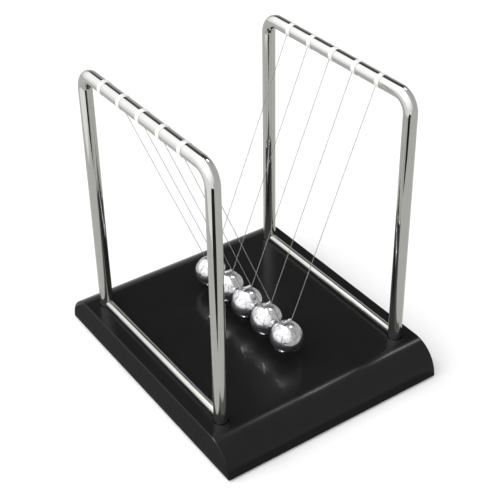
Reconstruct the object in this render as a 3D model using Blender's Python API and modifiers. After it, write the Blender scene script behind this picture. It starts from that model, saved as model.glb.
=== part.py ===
"""Newton's cradle: steel balls hung on V-shaped threads from two chrome frames on a moulded base.

Run with Blender. Units are metres and +Z is up. The origin is on the table under the middle of
the base. X runs along the row of balls, and Y from the front frame to the back frame.
"""
import math

import bmesh
import bpy
from mathutils import Matrix

MM = 0.001
GAP = 0.3 * MM

# Balls
BALL_COUNT = 5
BALL_RADIUS = 10.0 * MM
BALL_PITCH = 2 * BALL_RADIUS + GAP
BALL_CLEARANCE = 3.0 * MM
BALL_HOLE_RADIUS = 1.1 * MM
BALL_HOLE_DEPTH = 4.0 * MM
BALL_SEGMENTS = 28
BALL_RINGS = 16

# Base: an extruded profile whose two ends fall away in quarter ellipses
BASE_LENGTH = 180.0 * MM
BASE_WIDTH = 150.0 * MM
BASE_TOP = 21.0 * MM
BASE_RIM = 0.8 * MM
BASE_CURVE = 19.0 * MM
BASE_WALL = 2.5 * MM
BASE_EDGE = 0.8 * MM
BASE_CURVE_STEPS = 10

# Frames: chromed rod bent to an upside-down U
ROD_RADIUS = 4.1 * MM
FRAME_HALF_SPAN = 65.0 * MM
FRAME_OFFSET = 63.0 * MM
FRAME_HEIGHT = 182.5 * MM
FRAME_BEND = 10.0 * MM
FRAME_BEND_STEPS = 8
ROD_BEVEL_RESOLUTION = 8
ROD_SIDES = 4 + 2 * ROD_BEVEL_RESOLUTION

# Post sockets in the base, and the screws that hold the posts from below
SOCKET_BOSS_RADIUS = 7.5 * MM
SOCKET_BOSS_LOW = 9.0 * MM
SOCKET_FLOOR = 12.0 * MM
POST_LOW = SOCKET_FLOOR + GAP
POST_BORE_DEPTH = 7.5 * MM
FRAME_SCREW_RADIUS = 2.0 * MM
FRAME_SCREW_REACH = 6.0 * MM
FRAME_SCREW_HEAD_RADIUS = 3.5 * MM
FRAME_SCREW_HEAD_HEIGHT = 2.3 * MM
WASHER_RADIUS = 5.0 * MM
WASHER_THICKNESS = 0.8 * MM

# Lower bars, half sunk in grooves between the posts
LOWER_BAR_RADIUS = 2.5 * MM
LOWER_BAR_RISE = 1.9 * MM

# Thread collars in shallow grooves of the top bars
COLLAR_WIDTH = 3.2 * MM
COLLAR_INNER = ROD_RADIUS - 0.2 * MM
COLLAR_OUTER = ROD_RADIUS + 0.3 * MM
GROOVE_RADIUS = ROD_RADIUS - 0.5 * MM
GROOVE_WIDTH = COLLAR_WIDTH + 0.3 * MM

# Threads, and the eyelet tubes that they pass through
THREAD_RADIUS = 0.25 * MM
THREAD_COLLAR_GAP = 0.15 * MM
THREAD_BEND = 0.8 * MM
THREAD_BEND_STEPS = 4
EYELET_HALF_LENGTH = 2.7 * MM
EYELET_RADIUS = 1.0 * MM
EYELET_BORE = 0.55 * MM
EYELET_RISE = 11.3 * MM
EYELET_STEM_RADIUS = 0.8 * MM
EYELET_STEM_DEPTH = 3.5 * MM

# Bottom plate, its screws and the rubber feet
PLATE_LOW = 2.0 * MM
PLATE_THICKNESS = 2.0 * MM
PLATE_SCREW_X = 45.0 * MM
PLATE_SCREW_Y = 62.0 * MM
PLATE_SCREW_RADIUS = 1.2 * MM
PLATE_SCREW_LENGTH = 10.0 * MM
PLATE_SCREW_HEAD_RADIUS = 2.6 * MM
PLATE_SCREW_HEAD_HEIGHT = 1.2 * MM
PLATE_BOSS_RADIUS = 4.0 * MM
FOOT_RADIUS = 7.0 * MM
FOOT_X = 74.0 * MM
FOOT_Y = 60.0 * MM

SMALL_SIDES = 16
THREAD_BEVEL_RESOLUTION = 2
SMOOTH_ANGLE = math.radians(35)

# Derived places
BALL_Z = BASE_TOP + BALL_CLEARANCE + BALL_RADIUS
EYELET_Z = BALL_Z + EYELET_RISE
LOWER_BAR_Z = BASE_TOP + LOWER_BAR_RISE
PLATE_TOP = PLATE_LOW + PLATE_THICKNESS
FLAT_HALF_LENGTH = BASE_LENGTH / 2 - BASE_CURVE
WASHER_LOW = SOCKET_BOSS_LOW - GAP - WASHER_THICKNESS
THREAD_WRAP = COLLAR_OUTER + THREAD_COLLAR_GAP + THREAD_RADIUS

# Colour, roughness and metallic value of each kind of surface
SURFACES = {
    "black_plastic": ((0.012, 0.012, 0.013, 1.0), 0.32, 0.0),
    "chrome": ((0.78, 0.78, 0.77, 1.0), 0.08, 1.0),
    "polished_steel": ((0.74, 0.74, 0.73, 1.0), 0.10, 1.0),
    "zinc_steel": ((0.55, 0.55, 0.54, 1.0), 0.35, 1.0),
    "nylon": ((0.80, 0.80, 0.78, 1.0), 0.25, 0.0),
    "white_plastic": ((0.85, 0.84, 0.82, 1.0), 0.40, 0.0),
    "black_rubber": ((0.02, 0.02, 0.02, 1.0), 0.85, 0.0),
}


def clear_scene():
    for obj in list(bpy.data.objects):
        bpy.data.objects.remove(obj, do_unlink=True)


def new_collection(name):
    collection = bpy.data.collections.new(name)
    bpy.context.scene.collection.children.link(collection)
    return collection


def give_material(obj, surface):
    """Gives a piece its own Principled material and smooth shading on its round faces."""
    colour, roughness, metallic = SURFACES[surface]
    material = bpy.data.materials.new(obj.name + "_" + surface)
    material.use_nodes = True
    shader = material.node_tree.nodes["Principled BSDF"]
    shader.inputs["Base Color"].default_value = colour
    shader.inputs["Roughness"].default_value = roughness
    shader.inputs["Metallic"].default_value = metallic
    material.diffuse_color = colour
    obj.data.materials.append(material)
    if obj.type == "MESH":
        obj.data.shade_smooth()
        obj.data.set_sharp_from_angle(angle=SMOOTH_ANGLE)


def add_object(name, data, location=(0, 0, 0), cutter=False):
    obj = bpy.data.objects.new(name, data)
    obj.location = location
    if cutter:
        obj.hide_render = True
        obj.display_type = "WIRE"
        cutters.objects.link(obj)
    else:
        parts.objects.link(obj)
    return obj


def add_cylinder(mesh_builder, radius, depth, centre, axis="Z", sides=SMALL_SIDES):
    """Adds one closed cylinder to a bmesh, along X, Y or Z."""
    made = bmesh.ops.create_cone(
        mesh_builder, cap_ends=True, segments=sides, radius1=radius, radius2=radius, depth=depth
    )
    if axis != "Z":
        turn = Matrix.Rotation(math.radians(90), 4, "Y" if axis == "X" else "X")
        bmesh.ops.transform(mesh_builder, matrix=turn, verts=made["verts"])
    bmesh.ops.translate(mesh_builder, vec=centre, verts=made["verts"])


def cylinders(name, items, axis="Z", sides=SMALL_SIDES, cutter=False, origin=(0, 0, 0)):
    """One object of separate cylinders, each given as (radius, depth, centre)."""
    builder = bmesh.new()
    for radius, depth, centre in items:
        place = [c - o for c, o in zip(centre, origin)]
        add_cylinder(builder, radius, depth, place, axis, sides)
    mesh = bpy.data.meshes.new(name)
    builder.to_mesh(mesh)
    builder.free()
    return add_object(name, mesh, origin, cutter)


def boolean(target, tool, operation="DIFFERENCE"):
    modifier = target.modifiers.new(tool.name, "BOOLEAN")
    modifier.operation = operation
    modifier.solver = "EXACT"
    modifier.object = tool


def mesh_from_curve(obj, cutter=False):
    """Swaps a curve object for a closed mesh object of the same name and place."""
    bpy.context.view_layer.update()
    evaluated = obj.evaluated_get(bpy.context.evaluated_depsgraph_get())
    mesh = bpy.data.meshes.new_from_object(evaluated)
    builder = bmesh.new()
    builder.from_mesh(mesh)
    bmesh.ops.remove_doubles(builder, verts=builder.verts, dist=0.00001)
    bmesh.ops.recalc_face_normals(builder, faces=builder.faces)
    builder.to_mesh(mesh)
    builder.free()
    name = obj.name
    place = obj.matrix_world.copy()
    bpy.data.objects.remove(obj, do_unlink=True)
    solid = add_object(name, mesh, cutter=cutter)
    solid.matrix_world = place
    return solid


def extruded_outline(name, outline, half_width, cutter=False):
    """A closed XZ outline made solid from y = -half_width to +half_width."""
    curve = bpy.data.curves.new(name, "CURVE")
    curve.dimensions = "2D"
    curve.fill_mode = "BOTH"
    curve.extrude = half_width
    spline = curve.splines.new("POLY")
    spline.points.add(len(outline) - 1)
    for point, (x, z) in zip(spline.points, outline):
        point.co = (x, z, 0, 1)
    spline.use_cyclic_u = True
    obj = add_object(name, curve, cutter=cutter)
    obj.rotation_euler.x = math.radians(90)
    return mesh_from_curve(obj, cutter)


def rod_along(name, points, radius, bevel_resolution, location):
    """A round rod through the points, as a curve object with filled ends."""
    curve = bpy.data.curves.new(name, "CURVE")
    curve.dimensions = "3D"
    curve.bevel_depth = radius
    curve.bevel_resolution = bevel_resolution
    curve.use_fill_caps = True
    spline = curve.splines.new("POLY")
    spline.points.add(len(points) - 1)
    for point, place in zip(spline.points, points):
        point.co = (*place, 1)
    return add_object(name, curve, location)


def ring(name, inner, outer, width, sides=ROD_SIDES):
    """A flat-sided ring about Z, turned from a rectangle."""
    half = width / 2
    corners = [(outer, 0, half), (outer, 0, -half), (inner, 0, -half), (inner, 0, half)]
    edges = [(0, 1), (1, 2), (2, 3), (3, 0)]
    mesh = bpy.data.meshes.new(name)
    mesh.from_pydata(corners, edges, [])
    obj = add_object(name, mesh)
    turn = obj.modifiers.new("turn", "SCREW")
    turn.angle = math.tau
    turn.steps = sides
    turn.render_steps = sides
    turn.use_merge_vertices = True
    turn.merge_threshold = 0.00001
    turn.use_smooth_shade = False
    return obj


def base_outline(inset, low, high, skirt):
    """Half-ellipse ends on a flat top; the ends drop straight for the skirt below low."""
    right = []
    for step in range(BASE_CURVE_STEPS + 1):
        angle = math.radians(90) * step / BASE_CURVE_STEPS
        x = FLAT_HALF_LENGTH + (BASE_CURVE - inset) * math.sin(angle)
        z = low + (high - low) * math.cos(angle)
        right.append((x, z))
    if skirt > 0:
        right.append((right[-1][0], low - skirt))
    left = [(-x, z) for x, z in reversed(right)]
    return right + left


def four_corners(x, y):
    return [(sx * x, sy * y) for sy in (-1, 1) for sx in (-1, 1)]


CORNER_NAMES = ["front_left", "front_right", "back_left", "back_right"]
POST_PLACES = four_corners(FRAME_HALF_SPAN, FRAME_OFFSET)
PLATE_SCREW_PLACES = four_corners(PLATE_SCREW_X, PLATE_SCREW_Y)
FOOT_PLACES = four_corners(FOOT_X, FOOT_Y)


def upright(radius, low, high, x, y):
    """(radius, depth, centre) of an upright cylinder between two heights."""
    return (radius, high - low, (x, y, (low + high) / 2))


def make_base_shell():
    shell = extruded_outline(
        "base_shell", base_outline(0, BASE_RIM, BASE_TOP, 0), BASE_WIDTH / 2
    )
    edge = shell.modifiers.new("soft_edges", "BEVEL")
    edge.width = BASE_EDGE
    edge.segments = 2
    edge.limit_method = "ANGLE"
    edge.angle_limit = math.radians(45)

    pocket = extruded_outline(
        "base_pocket",
        base_outline(BASE_WALL, BASE_RIM, BASE_TOP - BASE_WALL, 2 * MM),
        BASE_WIDTH / 2 - BASE_WALL,
        cutter=True,
    )
    bosses = [
        upright(SOCKET_BOSS_RADIUS, SOCKET_BOSS_LOW, BASE_TOP + 4 * MM, x, y)
        for x, y in POST_PLACES
    ]
    bosses += [
        upright(PLATE_BOSS_RADIUS, PLATE_TOP + GAP, BASE_TOP + 4 * MM, x, y)
        for x, y in PLATE_SCREW_PLACES
    ]
    boolean(pocket, cylinders("pocket_bosses", bosses, sides=24, cutter=True))
    boolean(shell, pocket)

    sockets = [
        upright(ROD_RADIUS + GAP, SOCKET_FLOOR, BASE_TOP + 4 * MM, x, y) for x, y in POST_PLACES
    ]
    boolean(shell, cylinders("post_sockets", sockets, sides=24, cutter=True))

    holes = [
        upright(FRAME_SCREW_RADIUS + GAP, SOCKET_BOSS_LOW - MM, SOCKET_FLOOR + MM, x, y)
        for x, y in POST_PLACES
    ]
    holes += [
        upright(PLATE_SCREW_RADIUS + GAP, PLATE_TOP, PLATE_TOP + PLATE_SCREW_LENGTH, x, y)
        for x, y in PLATE_SCREW_PLACES
    ]
    boolean(shell, cylinders("base_screw_holes", holes, cutter=True))

    grooves = [
        (LOWER_BAR_RADIUS + GAP, 2 * FRAME_HALF_SPAN, (0, side * FRAME_OFFSET, LOWER_BAR_Z))
        for side in (-1, 1)
    ]
    boolean(shell, cylinders("lower_bar_grooves", grooves, "X", 24, cutter=True))
    give_material(shell, "black_plastic")


def make_base_plate():
    bpy.ops.mesh.primitive_cube_add(size=1)
    plate = bpy.context.object
    plate.name = "base_plate"
    for collection in list(plate.users_collection):
        collection.objects.unlink(plate)
    parts.objects.link(plate)
    inner_half_length = FLAT_HALF_LENGTH + BASE_CURVE - BASE_WALL
    length = 2 * (inner_half_length - 3 * GAP)
    width = BASE_WIDTH - 2 * BASE_WALL - 2 * GAP
    for vertex in plate.data.vertices:
        vertex.co.x *= length
        vertex.co.y *= width
        vertex.co.z *= PLATE_THICKNESS
    plate.location.z = PLATE_LOW + PLATE_THICKNESS / 2
    holes = [
        upright(PLATE_SCREW_RADIUS + GAP, PLATE_LOW - MM, PLATE_TOP + MM, x, y)
        for x, y in PLATE_SCREW_PLACES
    ]
    boolean(plate, cylinders("plate_holes", holes, cutter=True))
    give_material(plate, "black_plastic")


def make_feet():
    for name, (x, y) in zip(CORNER_NAMES, FOOT_PLACES):
        foot = cylinders("foot_" + name, [upright(FOOT_RADIUS, 0, PLATE_LOW - GAP, x, y)], sides=24)
        give_material(foot, "black_rubber")


def make_screw(name, radius, low, high, head_radius, head_height, x, y, recess):
    """A screw that points up: a round head with a hexagon recess, and a plain shank."""
    head = [upright(head_radius, low, low + head_height, x, y)]
    screw = cylinders(name, head)
    shank = [upright(radius, low + head_height / 2, high, x, y)]
    boolean(screw, cylinders(name + "_shank", shank, cutter=True), "UNION")
    socket = [upright(recess, low - head_height, low + head_height / 3, x, y)]
    boolean(screw, cylinders(name + "_recess", socket, sides=6, cutter=True))
    give_material(screw, "zinc_steel")


def make_screws_and_washers():
    for name, (x, y) in zip(CORNER_NAMES, POST_PLACES):
        hole = FRAME_SCREW_RADIUS + GAP
        washer = ring("frame_washer_" + name, hole, WASHER_RADIUS, WASHER_THICKNESS, SMALL_SIDES)
        washer.location = (x, y, WASHER_LOW + WASHER_THICKNESS / 2)
        give_material(washer, "zinc_steel")
        head_low = WASHER_LOW - GAP - FRAME_SCREW_HEAD_HEIGHT
        make_screw(
            "frame_screw_" + name, FRAME_SCREW_RADIUS, head_low, POST_LOW + FRAME_SCREW_REACH,
            FRAME_SCREW_HEAD_RADIUS, FRAME_SCREW_HEAD_HEIGHT, x, y, 1.6 * MM,
        )
    for name, (x, y) in zip(CORNER_NAMES, PLATE_SCREW_PLACES):
        head_low = PLATE_LOW - GAP - PLATE_SCREW_HEAD_HEIGHT
        make_screw(
            "plate_screw_" + name, PLATE_SCREW_RADIUS, head_low, PLATE_LOW + PLATE_SCREW_LENGTH,
            PLATE_SCREW_HEAD_RADIUS, PLATE_SCREW_HEAD_HEIGHT, x, y, 1.1 * MM,
        )


def frame_points():
    """Centre line of a frame in its own XZ plane: up, round a bend, across, round, and down."""
    points = [(-FRAME_HALF_SPAN, 0, POST_LOW)]
    for step in range(FRAME_BEND_STEPS + 1):
        angle = math.radians(90) * step / FRAME_BEND_STEPS
        x = -FRAME_HALF_SPAN + FRAME_BEND * (1 - math.cos(angle))
        z = FRAME_HEIGHT - FRAME_BEND * (1 - math.sin(angle))
        points.append((x, 0, z))
    return points + [(-x, y, z) for x, y, z in reversed(points)]


def ball_x(index):
    return (index - (BALL_COUNT - 1) / 2) * BALL_PITCH


def make_frame(name, y):
    frame = mesh_from_curve(
        rod_along("frame_" + name, frame_points(), ROD_RADIUS, ROD_BEVEL_RESOLUTION, (0, y, 0))
    )
    bore_top = POST_LOW + POST_BORE_DEPTH
    bores = [
        upright(FRAME_SCREW_RADIUS + GAP, POST_LOW - MM, bore_top, x, y)
        for x in (-FRAME_HALF_SPAN, FRAME_HALF_SPAN)
    ]
    boolean(frame, cylinders("post_bores_" + name, bores, cutter=True))
    for index in range(BALL_COUNT):
        groove_name = "thread_groove_%s_%d" % (name, index + 1)
        groove = ring(groove_name, GROOVE_RADIUS, 2 * ROD_RADIUS, GROOVE_WIDTH)
        lay_on_bar(groove, index, y)
        parts.objects.unlink(groove)
        cutters.objects.link(groove)
        groove.hide_render = True
        groove.display_type = "WIRE"
        boolean(frame, groove)
    give_material(frame, "chrome")


def lay_on_bar(obj, index, y):
    """Turns a Z ring to lie around the top bar where one ball's thread is tied."""
    obj.location = (ball_x(index), y, FRAME_HEIGHT)
    obj.rotation_euler.y = math.radians(90)


def make_collars(name, y):
    for index in range(BALL_COUNT):
        collar = ring("collar_%s_%d" % (name, index + 1), COLLAR_INNER, COLLAR_OUTER, COLLAR_WIDTH)
        lay_on_bar(collar, index, y)
        give_material(collar, "white_plastic")


def make_lower_bar(name, y):
    rod = [(LOWER_BAR_RADIUS, 2 * FRAME_HALF_SPAN, (0, y, LOWER_BAR_Z))]
    bar = cylinders("lower_bar_" + name, rod, "X", ROD_SIDES)
    reach = 2 * LOWER_BAR_RADIUS
    ends = [
        upright(ROD_RADIUS + GAP, LOWER_BAR_Z - reach, LOWER_BAR_Z + reach, x, y)
        for x in (-FRAME_HALF_SPAN, FRAME_HALF_SPAN)
    ]
    boolean(bar, cylinders("bar_ends_" + name, ends, sides=24, cutter=True))
    give_material(bar, "chrome")


def thread_half():
    """Half of a thread in the YZ plane, from the eyelet's mouth to where it leaves the collar.

    It leaves the mouth level, bends up, and runs straight to touch the collar's inner side.
    Returns its points and the leaving point, which lies on the ball's hinge line.
    """
    mouth_y = EYELET_HALF_LENGTH + GAP
    rise_y = FRAME_OFFSET - mouth_y
    rise_z = FRAME_HEIGHT - EYELET_Z - THREAD_BEND
    distance = math.hypot(rise_y, rise_z)
    lean = math.atan2(rise_y, rise_z) - math.asin((THREAD_WRAP - THREAD_BEND) / distance)
    points = []
    for step in range(THREAD_BEND_STEPS + 1):
        turn = (math.radians(90) - lean) * step / THREAD_BEND_STEPS
        y = mouth_y + THREAD_BEND * math.sin(turn)
        z = EYELET_Z + THREAD_BEND * (1 - math.cos(turn))
        points.append((y, z))
    leave_y = FRAME_OFFSET - THREAD_WRAP * math.cos(lean)
    leave_z = FRAME_HEIGHT - THREAD_WRAP * math.sin(lean)
    points.append((leave_y, leave_z))
    return points, leave_z


HALF_THREAD, HINGE_Z = thread_half()


def make_thread(index, hinge):
    back = [(0, y, z - HINGE_Z) for y, z in HALF_THREAD]
    front = [(x, -y, z) for x, y, z in reversed(back)]
    thread = rod_along(
        "thread_%d" % (index + 1), front + back, THREAD_RADIUS, THREAD_BEVEL_RESOLUTION, hinge
    )
    give_material(thread, "nylon")


def make_eyelet(index, hinge):
    """A short tube that carries the thread, on a stem that sits in the ball's hole."""
    name = "eyelet_%d" % (index + 1)
    x = hinge[0]
    centre = (x, 0, EYELET_Z)
    tube = cylinders(name, [(EYELET_RADIUS, 2 * EYELET_HALF_LENGTH, centre)], "Y", origin=hinge)
    stem_low = BALL_Z + BALL_RADIUS - EYELET_STEM_DEPTH
    stem = [upright(EYELET_STEM_RADIUS, stem_low, EYELET_Z, x, 0)]
    boolean(tube, cylinders(name + "_stem", stem, cutter=True), "UNION")
    bore = [(EYELET_BORE, 3 * EYELET_HALF_LENGTH, centre)]
    boolean(tube, cylinders(name + "_bore", bore, "Y", cutter=True))
    give_material(tube, "polished_steel")


def make_ball(index, hinge):
    name = "ball_%d" % (index + 1)
    builder = bmesh.new()
    bmesh.ops.create_uvsphere(
        builder, u_segments=BALL_SEGMENTS, v_segments=BALL_RINGS, radius=BALL_RADIUS
    )
    bmesh.ops.translate(builder, vec=(0, 0, BALL_Z - HINGE_Z), verts=builder.verts)
    mesh = bpy.data.meshes.new(name)
    builder.to_mesh(mesh)
    builder.free()
    ball = add_object(name, mesh, hinge)
    top = BALL_Z + BALL_RADIUS
    hole = [upright(BALL_HOLE_RADIUS, top - BALL_HOLE_DEPTH, top + MM, hinge[0], 0)]
    boolean(ball, cylinders(name + "_hole", hole, cutter=True))
    give_material(ball, "polished_steel")


clear_scene()
parts = new_collection("newtons_cradle")
cutters = new_collection("cutters")
make_base_shell()
make_base_plate()
make_feet()
make_screws_and_washers()
for side_name, side_y in (("front", -FRAME_OFFSET), ("back", FRAME_OFFSET)):
    make_frame(side_name, side_y)
    make_collars(side_name, side_y)
    make_lower_bar(side_name, side_y)
for ball_index in range(BALL_COUNT):
    hinge_point = (ball_x(ball_index), 0, HINGE_Z)
    make_ball(ball_index, hinge_point)
    make_eyelet(ball_index, hinge_point)
    make_thread(ball_index, hinge_point)
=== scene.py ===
"""Looks of the Newton's cradle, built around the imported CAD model. Units are metres."""
import math

import bmesh
import bpy
from mathutils import Matrix, Vector


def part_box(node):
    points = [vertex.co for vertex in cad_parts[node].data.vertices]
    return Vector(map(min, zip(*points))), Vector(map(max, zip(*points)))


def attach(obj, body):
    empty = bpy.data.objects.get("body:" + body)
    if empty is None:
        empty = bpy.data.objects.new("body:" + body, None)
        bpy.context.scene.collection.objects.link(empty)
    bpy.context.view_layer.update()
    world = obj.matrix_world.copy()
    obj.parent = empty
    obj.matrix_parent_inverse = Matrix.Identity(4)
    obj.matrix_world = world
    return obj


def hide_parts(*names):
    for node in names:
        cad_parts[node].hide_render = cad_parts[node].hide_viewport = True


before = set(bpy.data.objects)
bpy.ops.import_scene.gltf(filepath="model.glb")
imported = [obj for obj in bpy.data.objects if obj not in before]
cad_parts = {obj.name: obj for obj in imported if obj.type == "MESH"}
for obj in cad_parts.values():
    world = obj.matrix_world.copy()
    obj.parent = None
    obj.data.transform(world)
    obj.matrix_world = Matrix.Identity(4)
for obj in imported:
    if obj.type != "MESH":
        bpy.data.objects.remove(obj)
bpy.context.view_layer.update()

MM = 0.001
GAP = 0.3 * MM
QUARTER_TURN = math.radians(90)
SIDES = ("front", "back")
CORNERS = ("front_left", "front_right", "back_left", "back_right")
BALL_NUMBERS = range(1, 6)
# For each axis that a profile is turned about: two directions across it, then its own
AXES = {
    "X": (Vector((0, 1, 0)), Vector((0, 0, 1)), Vector((1, 0, 0))),
    "Y": (Vector((0, 0, 1)), Vector((1, 0, 0)), Vector((0, 1, 0))),
    "Z": (Vector((1, 0, 0)), Vector((0, 1, 0)), Vector((0, 0, 1))),
}

# Camera: the turn is a rotation vector in radians, lens and sensor are in millimetres
CAMERA_PLACE = (0.471008, -0.318719, 0.470317)
CAMERA_TURN = Vector((0.897, 0.480, 0.876))
CAMERA_LENS = 84.17
CAMERA_SENSOR_WIDTH = 36.0
CAMERA_SHIFT_X = -0.0047
CAMERA_SHIFT_Y = -0.0479
CAMERA_NEAREST = 0.05
CAMERA_FARTHEST = 20.0

# Faces that meet at a larger angle than this keep a hard edge between them
SMOOTH_ANGLE = math.radians(35)
BASE_SMOOTH_ANGLE = math.radians(28)
FLAT_ENDED_SMOOTH_ANGLE = math.radians(30)
TURNED_SMOOTH_ANGLE = math.radians(40)
ROUND_SMOOTH_ANGLE = math.radians(60)
WEIGHTED_NORMAL_WEIGHT = 80

# Base
BASE_CURVE = 19.0 * MM
BASE_WALL = 2.5 * MM
BASE_EDGE = 0.8 * MM
BASE_EDGE_SEGMENTS = 5
BASE_EDGE_ANGLE = math.radians(45)
# Where the middle point of a softened edge lies, as a share of the edge's size
EDGE_MIDDLE_SHARE = 0.3
SOCKET_BOSS_RADIUS = 7.5 * MM
SOCKET_BOSS_LOW = 9.0 * MM
SOCKET_FLOOR = 12.0 * MM
SOCKET_LIP = 0.25 * MM
# What is left between a socket and its screw's hole, so that the two cutters don't touch
SOCKET_SKIN = 0.03 * MM
PLATE_BOSS_RADIUS = 4.0 * MM
PLATE_SCREW_HOLE_DEPTH = 10.0 * MM
# How far a cutter reaches past the faces that it cuts
CUT_PAST = 1.0 * MM
POCKET_CUT_PAST = 2.0 * MM
BOSS_CUT_PAST = 4.0 * MM

# Frames, collars and lower bars
FRAME_BEND = 10.0 * MM
FRAME_END_EDGE = 0.4 * MM
POST_BORE_RADIUS = 2.3 * MM
POST_BORE_DEPTH = 7.5 * MM
GROOVE_DEPTH = 0.5 * MM
GROOVE_EDGE = 0.15 * MM
GROOVE_EDGE_MIDDLE = (0.04 * MM, 0.05 * MM)
COLLAR_WALL = 0.5 * MM
COLLAR_EDGE = 0.16 * MM
COLLAR_CROWN = 0.08 * MM

# Pendulums
BALL_HOLE_RADIUS = 1.1 * MM
BALL_HOLE_DEPTH = 4.0 * MM
BALL_HOLE_LIP = 0.12 * MM
EYELET_BORE = 0.55 * MM
EYELET_EDGE = 0.2 * MM
EYELET_STEM_RADIUS = 0.8 * MM
EYELET_COLLAR_RADIUS = 0.9 * MM
EYELET_COLLAR_DROP = 0.25 * MM
THREAD_BEND = 0.8 * MM
THREAD_TO_COLLAR = 0.15 * MM

# Underside. A foot's shares are of its radius
PLATE_THICKNESS = 2.0 * MM
PLATE_CORNER = 1.2 * MM
PLATE_EDGE = 0.25 * MM
SCREW_SHANKS = {"frame_screw": 2.0 * MM, "plate_screw": 1.2 * MM}
SCREW_HEADS = {"frame_screw": 2.3 * MM, "plate_screw": 1.2 * MM}
# Shares of the head's height, of the shank's radius, of the pitch and of the shank's radius
SCREW_DOME_SHARE = 0.6
SCREW_PITCH_SHARE = 0.4
SCREW_GROOVE_SHARE = 0.35
SCREW_TIP_SHARE = 0.6
# The recess's length and width as shares of the head's radius, its depth of the head's height
RECESS_SHARES = (1.1, 0.26, 0.9)
RECESS_TURN = math.radians(20)
WASHER_EDGE = 0.15 * MM
FOOT_EDGE = 0.35 * MM
FOOT_TOP_SHARE = 0.96
FOOT_DISH_SHARE = 0.45
FOOT_DISH_FLOOR_SHARE = 0.4

# Studio. ROOM_LIGHT holds the room's brightness at heights from straight down to straight up
FLOOR_SIZE = 12.0
FLOOR_LEVEL = -0.1 * MM
FLOOR_SEEN = (0.86, 0.86, 0.86)
FLOOR_REFLECTED = (0.56, 0.56, 0.54)
WINDOW_DIRECTION = Vector((-0.1, -0.6, 0.79)).normalized()
WINDOW_EDGE_LIGHT = 0.9
WINDOW_LIGHT = 2.3
WINDOW_FADE = (0.13, 0.06)
ROOM_LIGHT = ((0.0, 0.62), (0.35, 0.58), (0.51, 0.09), (0.88, 0.06), (1.0, 0.5))
ROOM_SIDE_LIGHT = 0.72
ROOM_SIDE_FADE = (-0.35, 0.0)
# Each card's name, height, brightness and corners. The lamp makes the glints on the balls and
# in the base, the back strip the highlight where the base's top starts to curve, and the dark
# card the dark stripe in the posts. The sheet right round the base is painted shade: it stands
# in for the shaded floor next to the base, so the base's sides reflect it dark. The bounce
# card is the bright table in front of the object.
CARDS = (
    ("lamp", 1.20, 4500.0, (
        (-0.18, -0.22), (-0.16, -0.24), (-0.13, -0.24), (-0.11, -0.22),
        (-0.11, -0.19), (-0.13, -0.17), (-0.16, -0.17), (-0.18, -0.19),
    )),
    ("back_strip", 1.05, 14.0, ((-0.19, 0.45), (-0.05, 0.45), (-0.05, 0.80), (-0.19, 0.80))),
    ("dark_card", 0.001, 0.02, (
        (0.13, -0.125), (0.16, -0.245), (0.42, -0.50), (0.55, -0.22), (0.26, -0.11),
    )),
    # Painted shade: a dark sheet that only reflections see, in place of the shaded floor right
    # next to the base
    ("painted_contact_shade", 0.0012, 0.15, (
        (-0.098, -0.096), (0.110, -0.096), (0.110, 0.078),
        (0.0905, 0.078), (0.0905, -0.0755), (-0.098, -0.0755),
    )),
    ("bounce_card", 0.0005, 1.35, (
        (0.30, -0.14), (5.0, -2.2), (5.0, -5.0), (-5.0, -5.0), (-5.0, -1.6), (-0.24, -0.30),
        (0.10, -0.28),
    )),
)


# ---------------------------------------------------------------- camera

def make_camera():
    camera = bpy.data.cameras.new("camera")
    camera.sensor_width = CAMERA_SENSOR_WIDTH
    camera.lens = CAMERA_LENS
    camera.shift_x = CAMERA_SHIFT_X
    camera.shift_y = CAMERA_SHIFT_Y
    camera.clip_start = CAMERA_NEAREST
    camera.clip_end = CAMERA_FARTHEST
    obj = bpy.data.objects.new("camera", camera)
    obj.location = CAMERA_PLACE
    turn = Matrix.Rotation(CAMERA_TURN.length, 3, CAMERA_TURN)
    obj.rotation_mode = "QUATERNION"
    obj.rotation_quaternion = turn.to_quaternion()
    bpy.context.scene.collection.objects.link(obj)
    bpy.context.scene.camera = obj


# ---------------------------------------------------------------- mesh helpers

def centred(low, high):
    """The centre and the half size of a box."""
    return (low + high) / 2, (high - low) / 2


def spaced(start, end, steps):
    """Evenly spaced values from start to end, both included."""
    return [start + (end - start) * step / steps for step in range(steps + 1)]


def smooth(obj, angle=SMOOTH_ANGLE):
    obj.data.shade_smooth()
    obj.data.set_sharp_from_angle(angle=angle)


def linked(name, builder):
    """Turns a builder's mesh into an object of the scene."""
    mesh = bpy.data.meshes.new(name)
    builder.to_mesh(mesh)
    builder.free()
    obj = bpy.data.objects.new(name, mesh)
    bpy.context.scene.collection.objects.link(obj)
    return obj


def object_from(name, builder, smooth_angle=SMOOTH_ANGLE):
    bmesh.ops.recalc_face_normals(builder, faces=builder.faces)
    obj = linked(name, builder)
    smooth(obj, smooth_angle)
    return obj


def loft(builder, rings, closed=False):
    """Skins rings of equal size; a ring of one point makes a tip. Open ends get a flat cap."""
    made = [[builder.verts.new(point) for point in ring] for ring in rings]
    pairs = list(zip(made, made[1:]))
    if closed:
        pairs.append((made[-1], made[0]))
    for low, high in pairs:
        count = max(len(low), len(high))
        for i in range(count):
            j = (i + 1) % count
            if len(low) == 1:
                builder.faces.new((low[0], high[j], high[i]))
            elif len(high) == 1:
                builder.faces.new((low[i], low[j], high[0]))
            else:
                builder.faces.new((low[i], low[j], high[j], high[i]))
    if not closed:
        for end in (made[0], made[-1]):
            if len(end) > 2:
                builder.faces.new(end)


def circle(centre, across, along, radius, sides):
    """Points round a centre, in the plane of two unit vectors. A radius of 0 gives one point."""
    if radius == 0:
        return [Vector(centre)]
    points = []
    for i in range(sides):
        angle = math.tau * i / sides
        outward = across * math.cos(angle) + along * math.sin(angle)
        points.append(Vector(centre) + outward * radius)
    return points


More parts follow.
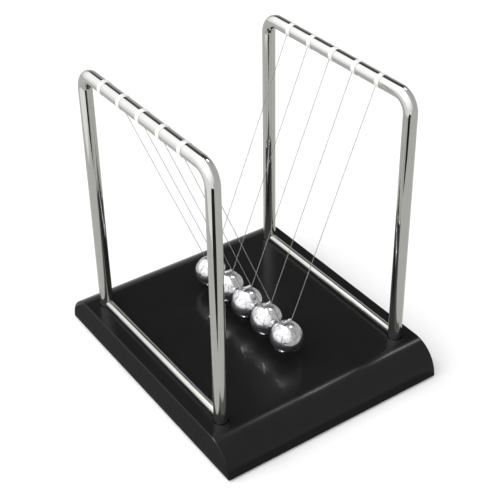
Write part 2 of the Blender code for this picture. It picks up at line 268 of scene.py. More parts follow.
def turned(builder, profile, centre, axis="Z", sides=48, closed=False):
    """Turns a profile of (radius, distance along the axis) about an axis through the centre."""
    across, along, forward = AXES[axis]
    rings = [
        circle(Vector(centre) + forward * place, across, along, radius, sides)
        for radius, place in profile
    ]
    loft(builder, rings, closed)


def cylinder(builder, radius, start, end, centre, axis="Z", sides=48):
    profile = [(0, start), (radius, start), (radius, end), (0, end)]
    turned(builder, profile, centre, axis, sides)


def fillet(corner_radius, corner_place, size, start, steps=6):
    """A quarter round on a profile's corner, as (radius, place) points.

    The start angle is 0 for a corner that turns from facing outward to facing up.
    """
    points = []
    for angle in spaced(start, start + QUARTER_TURN, steps):
        points.append((
            corner_radius + size * math.cos(angle),
            corner_place + size * math.sin(angle),
        ))
    return points


def rounded_ring(inner, outer, half_width, soft, crown=0.0, crown_steps=8):
    """A closed profile of a ring with softened corners and a slightly crowned outer face."""
    reach = half_width - soft
    corners = (
        (outer - soft, reach), (inner + soft, reach),
        (inner + soft, -reach), (outer - soft, -reach),
    )
    profile = []
    for quarter, (corner_radius, corner_place) in enumerate(corners):
        profile += fillet(corner_radius, corner_place, soft, quarter * QUARTER_TURN)
    for share in spaced(0.0, 1.0, crown_steps)[1:-1]:
        profile.append((outer + crown * math.sin(math.pi * share), reach * (2 * share - 1)))
    return profile


def boolean(target, tool, operation="DIFFERENCE", use_self=False):
    modifier = target.modifiers.new(tool.name, "BOOLEAN")
    modifier.operation = operation
    modifier.solver = "EXACT"
    modifier.use_self = use_self
    modifier.object = tool


def apply_modifiers(obj, tools=()):
    """Bakes the modifiers into the mesh and removes the tool objects."""
    bpy.context.view_layer.update()
    evaluated = obj.evaluated_get(bpy.context.evaluated_depsgraph_get())
    mesh = bpy.data.meshes.new_from_object(evaluated)
    obj.modifiers.clear()
    old = obj.data
    obj.data = mesh
    bpy.data.meshes.remove(old)
    for tool in tools:
        bpy.data.objects.remove(tool, do_unlink=True)


def weigh_normals(obj):
    """Keeps broad flat faces flat where they run into a curve."""
    modifier = obj.modifiers.new("flat_shading", "WEIGHTED_NORMAL")
    modifier.keep_sharp = True
    modifier.weight = WEIGHTED_NORMAL_WEIGHT


def settle(obj, body, node, material):
    """Puts a finished piece in place of its CAD node."""
    obj.data.materials.clear()
    obj.data.materials.append(material)
    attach(obj, body)
    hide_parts(node)


# ---------------------------------------------------------------- materials

class Wiring:
    """Short ways to add procedural nodes to one node tree."""

    def __init__(self, tree):
        self.nodes = tree.nodes
        self.links = tree.links

    def connect(self, socket, value):
        """Feeds a socket from another node, or sets a number or a colour on it."""
        if isinstance(value, bpy.types.NodeSocket):
            self.links.new(value, socket)
        elif isinstance(value, (int, float)):
            socket.default_value = value
        else:
            socket.default_value = (*value, 1.0)

    def spread(self, value, span, result, smooth_steps=False):
        """Maps one span of values, as (low, high), onto another and holds it at both ends."""
        node = self.nodes.new("ShaderNodeMapRange")
        if smooth_steps:
            node.interpolation_type = "SMOOTHSTEP"
        names = ("From Min", "From Max", "To Min", "To Max")
        for name, number in zip(names, (*span, *result)):
            node.inputs[name].default_value = number
        self.links.new(value, node.inputs["Value"])
        return node.outputs["Result"]

    def maths(self, operation, first, second):
        node = self.nodes.new("ShaderNodeMath")
        node.operation = operation
        self.connect(node.inputs[0], first)
        self.connect(node.inputs[1], second)
        return node.outputs["Value"]

    def mixed(self, share, low, high):
        """Goes from the low colour to the high one as the share goes from 0 to 1."""
        node = self.nodes.new("ShaderNodeMix")
        node.data_type = "RGBA"
        self.connect(node.inputs["A"], low)
        self.connect(node.inputs["B"], high)
        self.links.new(share, node.inputs["Factor"])
        return node.outputs["Result"]


class Surface(Wiring):
    """A Principled material with set values, and textures that lie in the object's space."""

    def __init__(self, name, **values):
        self.material = bpy.data.materials.new(name)
        self.material.use_nodes = True
        super().__init__(self.material.node_tree)
        self.shader = self.nodes["Principled BSDF"]
        for socket, value in values.items():
            self.shader.inputs[socket.replace("_", " ")].default_value = value

    def feed(self, name, output):
        self.links.new(output, self.shader.inputs[name])

    def position(self):
        return self.nodes.new("ShaderNodeTexCoord").outputs["Object"]

    def stretched(self, scale, turn=(0, 0, 0)):
        node = self.nodes.new("ShaderNodeMapping")
        node.inputs["Scale"].default_value = scale
        node.inputs["Rotation"].default_value = turn
        self.links.new(self.position(), node.inputs["Vector"])
        return node.outputs["Vector"]

    def noise(self, scale, detail=4.0, roughness=0.55, place=None):
        node = self.nodes.new("ShaderNodeTexNoise")
        node.inputs["Scale"].default_value = scale
        node.inputs["Detail"].default_value = detail
        node.inputs["Roughness"].default_value = roughness
        self.links.new(place or self.position(), node.inputs["Vector"])
        return node.outputs["Fac"]

    def cells(self, scale):
        node = self.nodes.new("ShaderNodeTexVoronoi")
        node.inputs["Scale"].default_value = scale
        self.links.new(self.position(), node.inputs["Vector"])
        return node.outputs["Distance"]

    def bump(self, height, distance, strength, before=None):
        node = self.nodes.new("ShaderNodeBump")
        node.inputs["Strength"].default_value = strength
        node.inputs["Distance"].default_value = distance
        self.links.new(height, node.inputs["Height"])
        if before is not None:
            self.links.new(before, node.inputs["Normal"])
        return node.outputs["Normal"]


def black_plastic():
    """Moulded gloss-black plastic: a slight flow ripple, fine grain, hairlines and dust."""
    s = Surface("black_plastic", Specular_IOR_Level=0.17, IOR=1.46)
    specks = s.spread(s.cells(scale=900.0), (0.0, 0.055), (1.0, 0.0), smooth_steps=True)
    patches = s.spread(s.noise(scale=14.0), (0.45, 0.7), (0.0, 1.0), smooth_steps=True)
    dust = s.maths("MULTIPLY", specks, patches)
    s.feed("Base Color", s.mixed(dust, (0.0085, 0.0085, 0.0090), (0.09, 0.09, 0.092)))
    wiped = s.spread(s.noise(scale=26.0, detail=3.0), (0.3, 0.7), (0.15, 0.21))
    along_hairs = s.stretched((0.35, 14.0, 1.0), turn=(0, 0, math.radians(24)))
    hairs = s.noise(scale=60.0, detail=2.0, roughness=0.5, place=along_hairs)
    s.feed("Roughness", s.maths("ADD", wiped, s.spread(hairs, (0.62, 0.72), (0.0, 0.06))))
    ripple = s.bump(s.noise(scale=38.0, detail=1.0), distance=0.06 * MM, strength=0.5)
    grain = s.noise(scale=2600.0, detail=2.0)
    s.feed("Normal", s.bump(grain, distance=0.004 * MM, strength=0.4, before=ripple))
    return s.material


def chrome(name, tint, rough, stretch):
    """Bright chrome plating: polishing lines along the rod, faint wipe marks, a soft ripple."""
    s = Surface(name, Metallic=1.0)
    marks = s.noise(scale=22.0, detail=3.0)
    s.feed("Base Color", s.mixed(marks, [c * 0.94 for c in tint], tint))
    lines = s.noise(scale=90.0, detail=3.0, roughness=0.6, place=s.stretched(stretch))
    wiped = s.spread(marks, (0.35, 0.7), (rough * 0.6, rough * 1.3))
    brushed = s.spread(lines, (0.5, 0.75), (0.0, rough * 0.8))
    s.feed("Roughness", s.maths("ADD", wiped, brushed))
    ripple = s.bump(s.noise(scale=70.0, detail=1.0), distance=0.03 * MM, strength=0.35)
    s.feed("Normal", s.bump(lines, distance=0.0015 * MM, strength=0.5, before=ripple))
    return s.material


def polished_steel():
    """Plated steel balls: polished, with cloudy handling marks, dark specks and tiny pits."""
    s = Surface("polished_steel", Metallic=1.0)
    clouds = s.noise(scale=330.0, detail=5.0, roughness=0.68)
    clouds = s.spread(clouds, (0.32, 0.62), (0.0, 1.0), smooth_steps=True)
    specks = s.noise(scale=620.0, detail=2.0, roughness=0.5)
    specks = s.spread(specks, (0.63, 0.70), (0.0, 0.75), smooth_steps=True)
    tone = s.mixed(clouds, (0.38, 0.38, 0.395), (0.56, 0.56, 0.57))
    s.feed("Base Color", s.mixed(specks, tone, (0.14, 0.14, 0.15)))
    along_smears = s.stretched((1.0, 1.0, 2.4), turn=(0.6, 0.3, 0.0))
    smears = s.noise(scale=240.0, detail=4.0, roughness=0.6, place=along_smears)
    s.feed("Roughness", s.spread(smears, (0.35, 0.75), (0.13, 0.26)))
    ripple = s.bump(s.noise(scale=420.0, detail=3.0), distance=0.06 * MM, strength=0.5)
    pits = s.spread(s.cells(scale=1400.0), (0.0, 0.08), (0.0, 1.0))
    s.feed("Normal", s.bump(pits, distance=0.006 * MM, strength=0.5, before=ripple))
    return s.material


def zinc():
    """Zinc-plated screws: dull, brushed and slightly uneven."""
    s = Surface("zinc_plate", Metallic=1.0)
    spangle = s.noise(scale=500.0)
    s.feed("Base Color", s.mixed(spangle, (0.42, 0.42, 0.43), (0.58, 0.58, 0.56)))
    s.feed("Roughness", s.spread(s.noise(scale=900.0), (0.3, 0.7), (0.28, 0.45)))
    grain = s.noise(scale=2500.0, detail=2.0)
    s.feed("Normal", s.bump(grain, distance=0.01 * MM, strength=0.5))
    return s.material


def milky_plastic():
    """Clear-white collars: light goes a little way in, and the moulding is slightly cloudy."""
    s = Surface(
        "milky_plastic",
        Subsurface_Weight=0.35, Subsurface_Scale=1.2 * MM, Subsurface_Radius=(1.0, 0.95, 0.9),
    )
    cloud = s.noise(scale=700.0, detail=3.0)
    s.feed("Base Color", s.mixed(cloud, (0.60, 0.60, 0.59), (0.72, 0.72, 0.71)))
    s.feed("Roughness", s.spread(cloud, (0.3, 0.7), (0.25, 0.42)))
    grain = s.noise(scale=1500.0, detail=2.0)
    s.feed("Normal", s.bump(grain, distance=0.015 * MM, strength=0.4))
    return s.material


def nylon():
    """Clear nylon line, faintly wavy from the spool."""
    s = Surface("nylon_line", Alpha=0.52, IOR=1.53)
    s.feed("Base Color", s.mixed(s.noise(scale=320.0), (0.16, 0.16, 0.163), (0.26, 0.26, 0.26)))
    s.feed("Roughness", s.spread(s.noise(scale=800.0), (0.3, 0.7), (0.18, 0.34)))
    s.feed("Normal", s.bump(s.noise(scale=1500.0), distance=0.01 * MM, strength=0.3))
    return s.material


def rubber():
    """Black rubber feet with a fine matt skin."""
    s = Surface("foot_rubber")
    bloom = s.noise(scale=300.0)
    s.feed("Base Color", s.mixed(bloom, (0.014, 0.014, 0.014), (0.030, 0.030, 0.029)))
    s.feed("Roughness", s.spread(s.noise(scale=700.0), (0.3, 0.7), (0.72, 0.92)))
    grain = s.noise(scale=3000.0, detail=2.0)
    s.feed("Normal", s.bump(grain, distance=0.04 * MM, strength=0.7))
    return s.material

PLASTIC = black_plastic()
CHROME_ROD = chrome("chrome_rod", (0.52, 0.52, 0.51), rough=0.08, stretch=(1.0, 8.0, 1.0))
CHROME_BAR = chrome("chrome_bar", (0.40, 0.40, 0.38), rough=0.20, stretch=(0.3, 8.0, 8.0))
STEEL = polished_steel()
EYELET_STEEL = chrome("eyelet_plating", (0.50, 0.50, 0.50), rough=0.24, stretch=(4.0, 1.0, 4.0))
ZINC = zinc()
MILKY = milky_plastic()
NYLON = nylon()
RUBBER = rubber()


# ---------------------------------------------------------------- base

def post_places():
    """Centres of the four posts, in the order of CORNERS."""
    places = []
    for side in SIDES:
        low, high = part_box("frame_" + side)
        rod = (high.y - low.y) / 2
        for x in (low.x + rod, high.x - rod):
            places.append((x, (low.y + high.y) / 2))
    return places


def plate_screw_places():
    """Centres of the four plate screws, in the order of CORNERS."""
    places = []
    for corner in CORNERS:
        low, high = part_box("plate_screw_" + corner)
        places.append(((low.x + high.x) / 2, (low.y + high.y) / 2))
    return places


def base_outline(half_length, top, low, inset, skirt, steps):
    """A flat top with quarter-ellipse ends, in XZ, clockwise as seen from the front."""
    flat = half_length - BASE_CURVE
    right = []
    for angle in spaced(0, QUARTER_TURN, steps):
        x = flat + (BASE_CURVE - inset) * math.sin(angle)
        right.append((x, low + (top - low) * math.cos(angle)))
    if skirt > 0:
        right.append((right[-1][0], low - skirt))
    return right + [(-x, z) for x, z in reversed(right)]


def extruded(name, outline, half_width):
    builder = bmesh.new()
    rings = [[Vector((x, y, z)) for x, z in outline] for y in (-half_width, half_width)]
    loft(builder, rings)
    return object_from(name, builder)


def base_pocket(plate_top):
    """The hollow under the base. It leaves a boss round each socket and each plate screw."""
    low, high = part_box("base_shell")
    pocket = extruded(
        "pocket",
        base_outline(high.x, high.z - BASE_WALL, low.z, BASE_WALL, POCKET_CUT_PAST, steps=24),
        high.y - BASE_WALL,
    )
    bosses = bmesh.new()
    boss_top = high.z + BOSS_CUT_PAST
    for x, y in post_places():
        cylinder(bosses, SOCKET_BOSS_RADIUS, SOCKET_BOSS_LOW, boss_top, (x, y, 0))
    for x, y in plate_screw_places():
        cylinder(bosses, PLATE_BOSS_RADIUS, plate_top + GAP, boss_top, (x, y, 0))
    bosses = object_from("bosses", bosses)
    boolean(pocket, bosses)
    apply_modifiers(pocket, [bosses])
    return pocket


def base_holes(top, plate_top, rod):
    """Sockets for the posts, each with a softened mouth, and the holes for both sets of screws."""
    hole = rod + GAP
    middle = SOCKET_LIP * EDGE_MIDDLE_SHARE
    socket = [
        (0, SOCKET_FLOOR), (hole, SOCKET_FLOOR), (hole, top - SOCKET_LIP),
        (hole + middle, top - middle), (hole + SOCKET_LIP, top),
        (hole + SOCKET_LIP, top + CUT_PAST), (0, top + CUT_PAST),
    ]
    holes = bmesh.new()
    for x, y in post_places():
        turned(holes, socket, (x, y, 0), sides=64)
        cylinder(holes, SCREW_SHANKS["frame_screw"] + GAP,
                 SOCKET_BOSS_LOW - CUT_PAST, SOCKET_FLOOR - SOCKET_SKIN, (x, y, 0))
    for x, y in plate_screw_places():
        cylinder(holes, SCREW_SHANKS["plate_screw"] + GAP,
                 plate_top, plate_top + PLATE_SCREW_HOLE_DEPTH, (x, y, 0))
    return object_from("holes", holes)


def bar_groove(side, rod):
    """The groove in the base's top that a lower bar lies in."""
    low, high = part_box("lower_bar_" + side)
    centre, half = centred(low, high)
    reach = high.x + rod / 2
    groove = bmesh.new()
    cylinder(groove, half.y + GAP, -reach, reach, (0, centre.y, centre.z), "X", sides=64)
    return object_from("groove_" + side, groove)


def make_base_shell():
    low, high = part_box("base_shell")
    plate_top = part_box("base_plate")[0].z + PLATE_THICKNESS
    rod = centred(*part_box("frame_front"))[1].y
    outline = base_outline(high.x, high.z, low.z, inset=0, skirt=0, steps=40)
    shell = extruded("base_moulding", outline, high.y)
    edge = shell.modifiers.new("soft_edges", "BEVEL")
    edge.width = BASE_EDGE
    edge.segments = BASE_EDGE_SEGMENTS
    edge.limit_method = "ANGLE"
    edge.angle_limit = BASE_EDGE_ANGLE

    tools = [base_pocket(plate_top), base_holes(high.z, plate_top, rod)]
    tools += [bar_groove(side, rod) for side in SIDES]
    for tool in tools:
        boolean(shell, tool)
    apply_modifiers(shell, tools)
    smooth(shell, BASE_SMOOTH_ANGLE)
    weigh_normals(shell)
    settle(shell, "stand", "base_shell", PLASTIC)


# ---------------------------------------------------------------- frames

def groove_stations(start, end, rod):
    """Places along a bar and the radii there, through one collar's groove and its soft edges."""
    back, drop = GROOVE_EDGE_MIDDLE
    edge = (
        (-GROOVE_EDGE, rod), (-back, rod - drop),
        (0.0, rod - GROOVE_EDGE), (0.0, rod - GROOVE_DEPTH),
    )
    stations = [(start + offset, radius) for offset, radius in edge]
    stations += [(end - offset, radius) for offset, radius in reversed(edge)]
    return stations


def make_frame(side):
    """One rod from the bored end of its left post, over the grooved top bar, to the right one."""
    low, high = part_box("frame_" + side)
    rod = (high.y - low.y) / 2
    y = (low.y + high.y) / 2
    span = high.x - rod
    bar = high.z - rod
    across = Vector((0, 1, 0))
    up = Vector((0, 0, 1))
    right = Vector((1, 0, 0))

    def station(x, z, tangent, radius):
        along = across.cross(tangent).normalized()
        return circle((x, y, z), across, along, radius, sides=64)

    left = [
        [Vector((-span, y, low.z + POST_BORE_DEPTH))],
        station(-span, low.z + POST_BORE_DEPTH, up, POST_BORE_RADIUS),
        station(-span, low.z + FRAME_END_EDGE, up, POST_BORE_RADIUS),
        station(-span, low.z, up, POST_BORE_RADIUS + FRAME_END_EDGE),
        station(-span, low.z, up, rod - FRAME_END_EDGE),
        station(-span, low.z + FRAME_END_EDGE, up, rod),
    ]
    for angle in spaced(0, QUARTER_TURN, steps=28):
        x = -span + FRAME_BEND * (1 - math.cos(angle))
        z = bar - FRAME_BEND * (1 - math.sin(angle))
        left.append(station(x, z, Vector((math.sin(angle), 0, math.cos(angle))), rod))
    middle = []
    for number in BALL_NUMBERS:
        collar_low, collar_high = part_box("collar_%s_%d" % (side, number))
        start = collar_low.x - GAP / 2
        end = collar_high.x + GAP / 2
        for x, radius in groove_stations(start, end, rod):
            middle.append(station(x, bar, right, radius))
    mirrored = []
    for ring in reversed(left):
        mirrored.append([Vector((-point.x, point.y, point.z)) for point in ring])
    builder = bmesh.new()
    loft(builder, left + middle + mirrored)
    obj = object_from("chrome_frame_" + side, builder, FLAT_ENDED_SMOOTH_ANGLE)
    weigh_normals(obj)
    settle(obj, "stand", "frame_" + side, CHROME_ROD)


def make_collar(side, number):
    node = "collar_%s_%d" % (side, number)
    centre, half = centred(*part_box(node))
    profile = rounded_ring(
        half.y - COLLAR_WALL, half.y - COLLAR_CROWN, half.x, COLLAR_EDGE, COLLAR_CROWN
    )
    builder = bmesh.new()
    turned(builder, profile, centre, "X", sides=64, closed=True)
    obj = object_from("thread_collar_%s_%d" % (side, number), builder, ROUND_SMOOTH_ANGLE)
    settle(obj, "stand", node, MILKY)


def make_lower_bar(side):
    """A rod whose two ends are scooped to fit round the posts."""
    node = "lower_bar_" + side
    centre, half = centred(*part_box(node))
    frame_low, frame_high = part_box("frame_" + side)
    rod = (frame_high.y - frame_low.y) / 2
    span = frame_high.x - rod
    scoop = rod + GAP
    rings = []
    for end in (-1, 1):
        ring = []
        for angle in spaced(0, math.tau, steps=64)[:-1]:
            y = half.y * math.cos(angle)
            z = half.y * math.sin(angle)
            x = end * (span - math.sqrt(scoop ** 2 - y ** 2))
            ring.append(Vector((x, centre.y + y, centre.z + z)))
        middle = [Vector((end * (span - scoop), centre.y, centre.z))]
        rings += [middle, ring] if end < 0 else [ring, middle]
    builder = bmesh.new()
    loft(builder, rings)
    obj = object_from("chrome_lower_bar_" + side, builder, FLAT_ENDED_SMOOTH_ANGLE)
    weigh_normals(obj)
    settle(obj, "stand", node, CHROME_BAR)


# ---------------------------------------------------------------- pendulums

def make_ball(number):
    """A ball with a hole in its top for the eyelet's stem."""
    node = "ball_%d" % number
    low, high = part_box(node)
    radius = (high.x - low.x) / 2
    centre = Vector(((low.x + high.x) / 2, (low.y + high.y) / 2, low.z + radius))
    hole_floor = radius - BALL_HOLE_DEPTH
    mouth = math.asin((BALL_HOLE_RADIUS + BALL_HOLE_LIP) / radius)
    profile = [
        (0, hole_floor), (BALL_HOLE_RADIUS, hole_floor),
        (BALL_HOLE_RADIUS, radius * math.cos(mouth) - BALL_HOLE_LIP),
    ]
    for angle in spaced(mouth, math.pi, steps=72)[:-1]:
        profile.append((radius * math.sin(angle), radius * math.cos(angle)))
    profile.append((0, -radius))
    builder = bmesh.new()
    turned(builder, profile, centre, sides=96)
    obj = object_from("steel_ball_%d" % number, builder, TURNED_SMOOTH_ANGLE)
    settle(obj, "pendulum_%d" % number, node, STEEL)


def make_eyelet(number):
    """A small tube for the thread, on a stem that goes down into the ball."""
    node = "eyelet_%d" % number
    low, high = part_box(node)
    radius = (high.x - low.x) / 2
    half_length = (high.y - low.y) / 2
    centre = Vector(((low.x + high.x) / 2, (low.y + high.y) / 2, high.z - radius))
    tube = bmesh.new()
    ring = rounded_ring(EYELET_BORE, radius, half_length, EYELET_EDGE)
    turned(tube, ring, centre, "Y", sides=40, closed=True)
    tube = object_from("eyelet_tube_%d" % number, tube, TURNED_SMOOTH_ANGLE)
    foot = low.z - centre.z
    head = -(radius + EYELET_BORE) / 2
    stem = bmesh.new()
    turned(stem, [
        (0, foot), (EYELET_STEM_RADIUS - EYELET_EDGE, foot),
        (EYELET_STEM_RADIUS, foot + EYELET_EDGE),
        (EYELET_STEM_RADIUS, -radius - EYELET_COLLAR_DROP),
        (EYELET_COLLAR_RADIUS, -radius), (EYELET_COLLAR_RADIUS, head), (0, head),
    ], centre, sides=32)
    stem = object_from("eyelet_stem", stem)
    boolean(tube, stem, "UNION")
    apply_modifiers(tube, [stem])
    smooth(tube, TURNED_SMOOTH_ANGLE)
    settle(tube, "pendulum_%d" % number, node, EYELET_STEEL)


def thread_route(number, radius):
    """Points (y, z) along a thread's back half, from the eyelet's middle to its collar.

    The straight run leaves the eyelet in a small bend and touches the collar's outside.
    """
    eyelet_low, eyelet_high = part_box("eyelet_%d" % number)
    level = eyelet_high.z - (eyelet_high.x - eyelet_low.x) / 2
    mouth = eyelet_high.y + GAP
    bar, collar = centred(*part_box("collar_back_%d" % number))
    wrap = collar.y + THREAD_TO_COLLAR + radius
    rise_y = bar.y - mouth
    rise_z = bar.z - level - THREAD_BEND
    straight = math.hypot(rise_y, rise_z)
    lean = math.atan2(rise_y, rise_z) - math.asin((wrap - THREAD_BEND) / straight)
    route = [(0.0, level)]
    for turn in spaced(0, QUARTER_TURN - lean, steps=8):
        y = mouth + THREAD_BEND * math.sin(turn)
        route.append((y, level + THREAD_BEND * (1 - math.cos(turn))))
    last_y, last_z = route[-1]
    run_y = bar.y - wrap * math.cos(lean) - last_y
    run_z = bar.z - wrap * math.sin(lean) - last_z
    for share in spaced(0.0, 1.0, steps=24)[1:]:
        route.append((last_y + run_y * share, last_z + run_z * share))
    return route


def make_thread(number):
    node = "thread_%d" % number
    low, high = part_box(node)
    x = (low.x + high.x) / 2
    radius = (high.x - low.x) / 2
    back = thread_route(number, radius)
    route = [(-y, z) for y, z in reversed(back[1:])] + back
    right = Vector((1, 0, 0))
    rings = []
    for i, (y, z) in enumerate(route):
        before = route[max(i - 1, 0)]
        after = route[min(i + 1, len(route) - 1)]
        tangent = Vector((0, after[0] - before[0], after[1] - before[1])).normalized()
        rings.append(circle((x, y, z), right, right.cross(tangent), radius, sides=12))
    builder = bmesh.new()
    loft(builder, rings)
    obj = object_from("nylon_thread_%d" % number, builder, ROUND_SMOOTH_ANGLE)
    settle(obj, "pendulum_%d" % number, node, NYLON)


# ---------------------------------------------------------------- underside

def make_foot(corner):
    """A foot that is slightly narrower at the top and dished underneath."""
    node = "foot_" + corner
    centre, half = centred(*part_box(node))
    radius = half.x
    low = -half.z
    middle = FOOT_EDGE * EDGE_MIDDLE_SHARE
    profile = [
        (0, half.z), (radius * FOOT_TOP_SHARE, half.z),
        (radius, low + FOOT_EDGE), (radius - middle, low + middle), (radius - FOOT_EDGE, low),
        (radius * FOOT_DISH_SHARE, low), (radius * FOOT_DISH_FLOOR_SHARE, low + FOOT_EDGE),
        (0, low + FOOT_EDGE),
    ]
    builder = bmesh.new()
    turned(builder, profile, centre, sides=64)
    obj = object_from("rubber_foot_" + corner, builder, FLAT_ENDED_SMOOTH_ANGLE)
    settle(obj, "stand", node, RUBBER)


def screw_profile(radius, half_length, shank, head):
    """A domed head below, then a shank with ridges, then a tapered tip."""
    profile = [(0, -half_length)]
    for angle in spaced(0, QUARTER_TURN, steps=8)[1:]:
        rise = head * SCREW_DOME_SHARE * (1 - math.cos(angle))
        profile.append((radius * math.sin(angle), -half_length + rise))
    profile += [(radius, -half_length + head), (shank, -half_length + head)]
    pitch = shank * SCREW_PITCH_SHARE
    place = -half_length + head + pitch
    while place < half_length - pitch * 1.5:
        groove = (shank - pitch * SCREW_GROOVE_SHARE, place + pitch * 0.5)
        profile += [(shank, place), groove]
        place += pitch
    tip = (shank * SCREW_TIP_SHARE, half_length)
    return profile + [(shank, half_length - pitch), tip, (0, half_length)]


def make_screw(kind, corner):
    """A screw with a cross recess in its head, which faces down."""
    node = "%s_%s" % (kind, corner)
    low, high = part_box(node)
    centre, half = centred(low, high)
    radius = half.x
    head = SCREW_HEADS[kind]
    builder = bmesh.new()
    turned(builder, screw_profile(radius, half.z, SCREW_SHANKS[kind], head), centre, sides=32)
    name = kind.split("_")[0] + "_bolt_" + corner
    obj = object_from(name, builder, FLAT_ENDED_SMOOTH_ANGLE)
    length, width, depth = RECESS_SHARES
    size = Matrix.Diagonal((radius * length, radius * width, head * depth, 1))
    move = Matrix.Translation((centre.x, centre.y, low.z))
    cross = bmesh.new()
    for turn in (RECESS_TURN, RECESS_TURN + QUARTER_TURN):
        slot = bmesh.ops.create_cube(cross, size=1)
        spin = Matrix.Rotation(turn, 4, "Z")
        bmesh.ops.transform(cross, matrix=move @ spin @ size, verts=slot["verts"])
    recess = object_from("recess", cross)
    boolean(obj, recess, use_self=True)
    apply_modifiers(obj, [recess])
    smooth(obj, FLAT_ENDED_SMOOTH_ANGLE)
    settle(obj, "stand", node, ZINC)


def make_washer(corner):
    node = "frame_washer_" + corner
    centre, half = centred(*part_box(node))
    inner = SCREW_SHANKS["frame_screw"] + GAP
    builder = bmesh.new()
    ring = rounded_ring(inner, half.x, half.z, WASHER_EDGE)
    turned(builder, ring, centre, sides=48, closed=True)
    obj = object_from("washer_" + corner, builder, TURNED_SMOOTH_ANGLE)
    settle(obj, "stand", node, ZINC)


def make_base_plate():
    """The flat bottom plate: rounded corners, soft edges and its four screw holes."""
    low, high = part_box("base_plate")
    centre, half = centred(low, high)
    outline = []
    for quarter, (side_x, side_y) in enumerate(((1, 1), (-1, 1), (-1, -1), (1, -1))):
        start = quarter * QUARTER_TURN
        for angle in spaced(start, start + QUARTER_TURN, steps=6):
            outline.append((
                side_x * (half.x - PLATE_CORNER) + PLATE_CORNER * math.cos(angle),
                side_y * (half.y - PLATE_CORNER) + PLATE_CORNER * math.sin(angle),
            ))
    rings = []
    for z, inset in (
        (low.z, PLATE_EDGE), (low.z + PLATE_EDGE, 0),
        (high.z - PLATE_EDGE, 0), (high.z, PLATE_EDGE),
    ):
        scale_x = (half.x - inset) / half.x
        scale_y = (half.y - inset) / half.y
        rings.append([
            Vector((centre.x + x * scale_x, centre.y + y * scale_y, z)) for x, y in outline
        ])
    builder = bmesh.new()
    loft(builder, rings)
    plate = object_from("bottom_plate", builder, FLAT_ENDED_SMOOTH_ANGLE)
    holes = bmesh.new()
    for x, y in plate_screw_places():
        cylinder(holes, SCREW_SHANKS["plate_screw"] + GAP,
                 low.z - CUT_PAST, high.z + CUT_PAST, (x, y, 0))
    holes = object_from("plate_holes", holes)
    boolean(plate, holes)
    apply_modifiers(plate, [holes])
    smooth(plate, FLAT_ENDED_SMOOTH_ANGLE)
    settle(plate, "stand", "base_plate", PLASTIC)


# ---------------------------------------------------------------- studio

def stage_sheet(name, outline, height, material):
    """A level sheet of the studio, which isn't a piece of the object."""
    builder = bmesh.new()
    builder.faces.new([builder.verts.new((x, y, height)) for x, y in outline])
    obj = linked(name, builder)
    obj.data.materials.append(material)
    return obj


def make_floor():
    """Pale paper. Chrome sees it darker than the camera does, as a table is in a room."""
    s = Surface("floor_paper", Roughness=0.9, Specular_IOR_Level=0.1)
    ray = s.nodes.new("ShaderNodeLightPath")
    tone = s.mixed(ray.outputs["Is Glossy Ray"], FLOOR_SEEN, FLOOR_REFLECTED)
    s.feed("Base Color", tone)
    reach = FLOOR_SIZE / 2
    corners = ((-reach, -reach), (reach, -reach), (reach, reach), (-reach, reach))
    stage_sheet("floor", corners, FLOOR_LEVEL, s.material)


def make_card(name, outline, height, brightness):
    """A level studio card that only glossy rays see, so it shows only in reflections."""
    glow = Surface(
        name, Base_Color=(0, 0, 0, 1), Specular_IOR_Level=0.0, Roughness=1.0,
        Emission_Color=(1.0, 1.0, 1.0, 1.0), Emission_Strength=brightness,
    )
    card = stage_sheet(name, outline, height, glow.material)
    card.visible_camera = False
    card.visible_diffuse = False
    card.visible_shadow = False
    card.visible_transmission = False


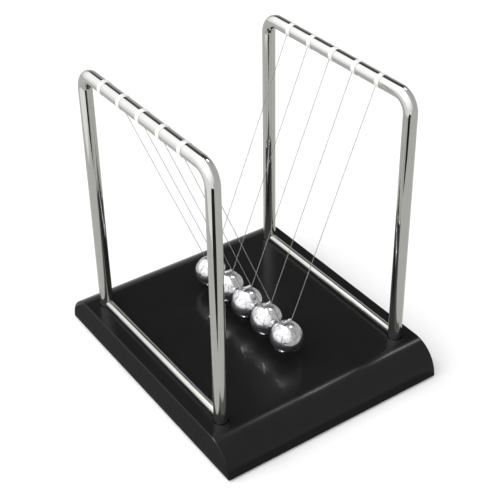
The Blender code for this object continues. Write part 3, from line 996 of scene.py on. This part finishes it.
def make_world():
    """Plain white behind everything for the camera, and a lit room for all other rays.

    The room has a big soft window in front and overhead, and is darker behind.
    """
    world = bpy.data.worlds.new("studio")
    bpy.context.scene.world = world
    world.use_nodes = True
    w = Wiring(world.node_tree)
    w.nodes.clear()
    looking = w.nodes.new("ShaderNodeTexCoord").outputs["Generated"]
    direction = w.nodes.new("ShaderNodeSeparateXYZ")
    w.links.new(looking, direction.inputs["Vector"])

    toward = w.nodes.new("ShaderNodeVectorMath")
    toward.operation = "DOT_PRODUCT"
    toward.inputs[1].default_value = WINDOW_DIRECTION
    w.links.new(looking, toward.inputs[0])
    window = w.spread(toward.outputs["Value"], (0.0, 1.0), (WINDOW_EDGE_LIGHT, WINDOW_LIGHT))

    back = w.nodes.new("ShaderNodeValToRGB")
    elements = back.color_ramp.elements
    for element, (place, tone) in zip(elements, (ROOM_LIGHT[0], ROOM_LIGHT[-1])):
        element.position = place
        element.color = (tone, tone, tone, 1.0)
    for place, tone in ROOM_LIGHT[1:-1]:
        element = elements.new(place)
        element.color = (tone, tone, tone, 1.0)
    w.links.new(direction.outputs["Z"], back.inputs["Fac"])

    to_right = w.spread(direction.outputs["X"], ROOM_SIDE_FADE, (0.0, 1.0), smooth_steps=True)
    room = w.mixed(to_right, back.outputs["Color"], [ROOM_SIDE_LIGHT] * 3)
    to_front = w.spread(direction.outputs["Y"], WINDOW_FADE, (0.0, 1.0), smooth_steps=True)
    lit = w.nodes.new("ShaderNodeBackground")
    w.links.new(w.mixed(to_front, room, window), lit.inputs["Color"])
    plain = w.nodes.new("ShaderNodeBackground")
    plain.inputs["Color"].default_value = (1.0, 1.0, 1.0, 1.0)
    ray = w.nodes.new("ShaderNodeLightPath")
    join = w.nodes.new("ShaderNodeMixShader")
    w.links.new(ray.outputs["Is Camera Ray"], join.inputs["Fac"])
    w.links.new(lit.outputs["Background"], join.inputs[1])
    w.links.new(plain.outputs["Background"], join.inputs[2])
    output = w.nodes.new("ShaderNodeOutputWorld")
    w.links.new(join.outputs["Shader"], output.inputs["Surface"])


# ---------------------------------------------------------------- build

make_camera()
make_base_shell()
make_base_plate()
for side_name in SIDES:
    make_frame(side_name)
    make_lower_bar(side_name)
    for ball_number in BALL_NUMBERS:
        make_collar(side_name, ball_number)
for ball_number in BALL_NUMBERS:
    make_ball(ball_number)
    make_eyelet(ball_number)
    make_thread(ball_number)
for corner_name in CORNERS:
    make_foot(corner_name)
    make_screw("frame_screw", corner_name)
    make_screw("plate_screw", corner_name)
    make_washer(corner_name)

make_floor()
make_world()
for card_name, card_height, card_brightness, card_outline in CARDS:
    make_card(card_name, card_outline, card_height, card_brightness)
scene = bpy.context.scene
scene.view_settings.view_transform = "Standard"
scene.view_settings.look = "None"
